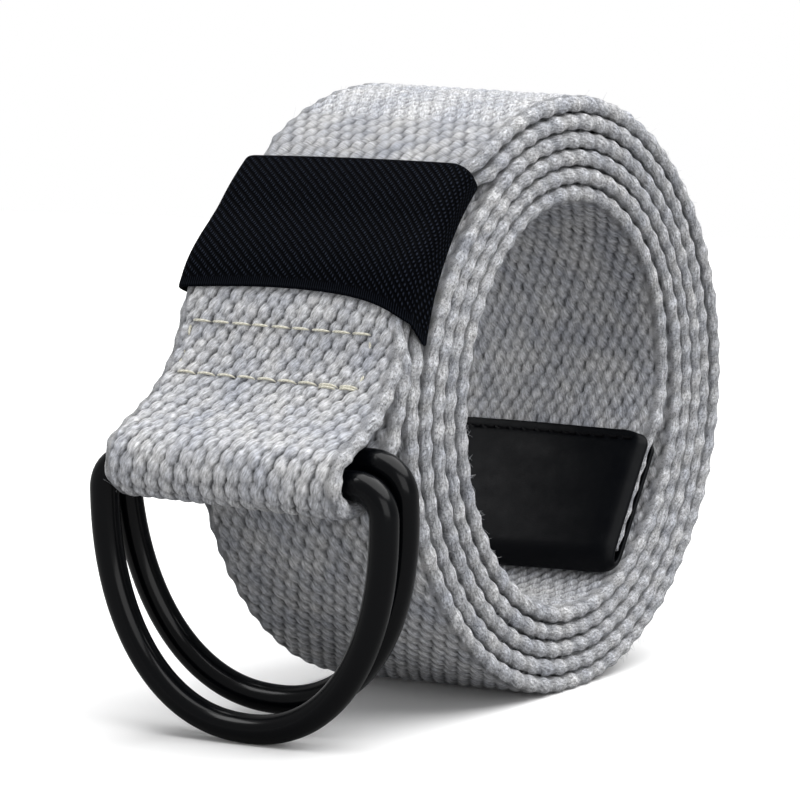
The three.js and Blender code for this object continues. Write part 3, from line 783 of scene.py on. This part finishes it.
def leather_mesh():
    """The folded leather as a grid: along the fold by rows, and round its own section by columns. Its faces are
    crowned and a little wavy, with a groove along each edge, and the near and the far edge bend in by
    leather_closing to shut over the strap."""
    end = float(route_run[-1])
    offset = leather_out - leather_thick / 2
    leg = np.linspace(end - leather_leg, end, 70)
    bend = np.radians(np.linspace(90, -90, 28)[1:-1])
    run = np.concatenate([leg, np.full(len(bend), end), leg[::-1]])
    past = np.concatenate([0 * leg, leather_nose * np.cos(bend), 0 * leg])
    out = np.concatenate([0 * leg + offset, offset * np.sin(bend), 0 * leg - offset])
    way = np.concatenate([[0], np.cumsum(np.hypot(np.diff(run + past), np.diff(out)))])
    n_past = np.concatenate([0 * leg, np.cos(bend), 0 * leg])
    n_out = np.concatenate([0 * leg + 1, np.sin(bend), 0 * leg - 1])
    from_edge = np.minimum(way, way[-1] - way)
    corner, groove_inset = 2.2, 1.5
    narrowed = corner - np.sqrt(np.maximum(0, corner ** 2 - np.maximum(0, corner - from_edge) ** 2))
    half = (leather_half - narrowed)[:, None]
    radius = leather_thick / 2
    turn = np.radians(np.linspace(90, -90, 9))
    flat = np.linspace(1, -1, 90)[1:-1]
    share = np.concatenate([flat, np.full(9, -1.0), -flat[::8], np.full(9, 1.0)])[None, :]
    bulge = np.concatenate([0 * flat, np.cos(turn), 0 * flat[::8], np.cos(turn)])[None, :]
    lift = np.concatenate([0 * flat + 1, np.sin(turn), 0 * flat[::8] - 1, -np.sin(turn)])[None, :]
    side = share * (half - radius) + np.sign(share) * bulge * radius
    face = np.concatenate([0 * flat + 1, np.zeros(9), 0 * flat[::8], np.zeros(9)])[None, :]
    inset = half - np.abs(side)
    groove = np.exp(-((inset - groove_inset) / 0.3) ** 2)
    groove = groove + np.exp(-((from_edge[:, None] - groove_inset) / 0.3) ** 2)
    puff = 0.28 * smooth(inset, 0.6, 5) * smooth(from_edge[:, None], 0.6, 5)
    wave = 0.12 * np.sin(side * 0.23 + 1) * np.sin(way[:, None] * 0.3)
    raised = radius * lift + face * (puff + wave * smooth(inset, 1, 5) - 0.14 * np.clip(groove, 0, 1))
    raised = raised - leather_closing * (1 - smooth(inset, 0.1, 1.5))
    base = on_strap(np.broadcast_to(run[:, None], side.shape), side, out[:, None] + raised * n_out[:, None])
    nose = np.interp(end, route_run, route_along[0]), np.interp(end, route_run, route_along[1])
    beyond = past[:, None] + raised * n_past[:, None]
    points = base + np.stack([beyond * nose[0], 0 * beyond, beyond * nose[1]], -1)
    around = np.append(np.cumsum(np.r_[0, np.linalg.norm(np.diff(points[40], axis=0), axis=1)]), 0)
    return points, way, around


points, way, around = leather_mesh()
faces, corner_rows, corner_columns = grid_faces(*points.shape[:2])
caps, cap_uv = end_caps(*points.shape[:2])
uv = np.stack([around[corner_columns], way[corner_rows]], -1).reshape(-1, 2)

# Satin hide with fine pores and soft creases, duller in patches.
leather, tree, shader = new_material("black leather", (0.0012, 0.0017, 0.0028), 0.42)
shader["Specular IOR Level"].default_value = 0.11
hide = add(tree, "ShaderNodeUVMap", uv_map="cloth").outputs["UV"]
pores = add(tree, "ShaderNodeTexVoronoi", {"Vector": hide, "Scale": 2600.0}, feature="DISTANCE_TO_EDGE")
creases = add(tree, "ShaderNodeTexNoise", {"Vector": hide, "Scale": 260.0, "Detail": 5.0, "Roughness": 0.6})
worn = add(tree, "ShaderNodeMapRange", {"Value": creases.outputs["Fac"], "From Min": 0.3, "From Max": 0.7,
                                        "To Min": 0.34, "To Max": 0.52})
grain = add(tree, "ShaderNodeMath", {0: pores.outputs["Distance"], 1: 0.25, 2: creases.outputs["Fac"]},
            operation="MULTIPLY_ADD")
bump = add(tree, "ShaderNodeBump", {"Strength": 0.35, "Distance": 0.0002, "Height": grain.outputs[0]})
tree.links.new(worn.outputs[0], shader["Roughness"])
tree.links.new(bump.outputs["Normal"], shader["Normal"])

tip = new_piece("leather_fold", points.reshape(-1, 3), faces.tolist() + caps, leather,
                np.concatenate([uv, cap_uv]) / 1000)
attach(tip, "strap")
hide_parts("leather_tip")

black_thread, _, shader, _ = twisted_thread("black thread", (0.002, 0.002, 0.003), 0.8)
shader["Specular IOR Level"].default_value = 0.1
leather_top = float(route_run[-1]) - leather_leg + 1.5
leather_seam = []
for out in (-leather_out, leather_out):
    leather_seam += seam((leather_top, 17.0), (leather_top, -17.0), 2.7, 2.0, out)
thread_stitches("leather_stitches", leather_seam, 0.2, 0.05, black_thread)

# The two rings
# Each is one length of round steel wire, bent to a D with a straight bar and sprayed gloss black. The bars lie
# side by side in the folded end, and both rings swing on them.

ring_half, ring_drop, ring_corner, ring_fullness = 23.0, 37.4, 4.5, 2.2
bar_direction = np.array([loop_yaw, 1, loop_roll]) / np.linalg.norm([loop_yaw, 1, loop_roll])


def ring_outline():
    """The middle of the wire in the ring's plane, along the bar and down from it: a straight bar, two round
    corners, and an arc that is a little fuller than half an ellipse."""
    bar = np.linspace(ring_corner - ring_half, ring_half - ring_corner, 24)
    turn = np.radians(np.linspace(90, 0, 12)[1:-1])
    arc = np.radians(np.linspace(0, 180, 170))
    c, s = np.cos(arc), np.abs(np.sin(arc))
    power = 2 / ring_fullness
    corner_x = ring_half - ring_corner + ring_corner * np.cos(turn)
    corner_y = ring_corner - ring_corner * np.sin(turn)
    arc_x = ring_half * np.sign(c) * np.abs(c) ** power
    arc_y = ring_corner + (ring_drop - ring_corner) * s ** power
    x = np.concatenate([bar, corner_x, arc_x, -corner_x[::-1]])
    y = np.concatenate([0 * bar, corner_y, arc_y, corner_y[::-1]])
    return x, y


def ring_mesh(bar, tilt):
    """Round wire carried round the closed outline, with the ring's plane tilted towards the roll."""
    plumb = np.array([0, 0, -1.0])
    plumb -= plumb @ bar_direction * bar_direction
    plumb /= np.linalg.norm(plumb)
    a = np.radians(-tilt)
    down = plumb * np.cos(a) + np.cross(bar_direction, plumb) * np.sin(a)
    x, y = ring_outline()
    before, after = np.roll(np.stack([x, y], 1), 1, 0), np.roll(np.stack([x, y], 1), -1, 0)
    tangent = (after - before) / np.linalg.norm(after - before, axis=1)[:, None]
    outward = tangent[:, 1:] * bar_direction - tangent[:, :1] * down
    middle = np.array([bar[0], 0, bar[1]]) + x[:, None] * bar_direction + y[:, None] * down
    around = np.linspace(0, 2 * np.pi, 32, endpoint=False)
    square = np.cross(bar_direction, down)
    turned = np.cos(around)[:, None] * outward[:, None] - np.sin(around)[:, None] * square
    return middle[:, None] + wire_radius * turned


# Sprayed gloss with a faint ripple and an uneven haze.
black_paint, tree, shader = new_material("gloss black paint", (0.001, 0.0013, 0.002), 0.15)
shader["Specular IOR Level"].default_value = 0.15
shader["Coat Weight"].default_value = 0.1
shader["Coat Roughness"].default_value = 0.06
spot = add(tree, "ShaderNodeTexCoord").outputs["Object"]
ripple = add(tree, "ShaderNodeTexNoise", {"Vector": spot, "Scale": 260.0, "Detail": 2.0})
haze = add(tree, "ShaderNodeTexNoise", {"Vector": spot, "Scale": 90.0, "Detail": 4.0})
gloss = add(tree, "ShaderNodeMapRange", {"Value": haze.outputs["Fac"], "From Min": 0.3, "From Max": 0.7,
                                         "To Min": 0.17, "To Max": 0.25})
bump = add(tree, "ShaderNodeBump", {"Strength": 0.1, "Distance": 0.0001, "Height": ripple.outputs["Fac"]})
tree.links.new(gloss.outputs[0], shader["Roughness"])
tree.links.new(bump.outputs["Normal"], shader["Normal"])

for ring_name, node, body, bar, tilt in (("d_ring_front", "ring_front", "front", front_bar, 3.5),
                                         ("d_ring_back", "ring_back", "back", back_bar, 8.5)):
    points = ring_mesh(bar, tilt)
    faces, _, _ = grid_faces(*points.shape[:2], rows_closed=True)
    ring = new_piece(ring_name, points.reshape(-1, 3), faces.tolist(), black_paint)
    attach(ring, body)
    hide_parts(node)
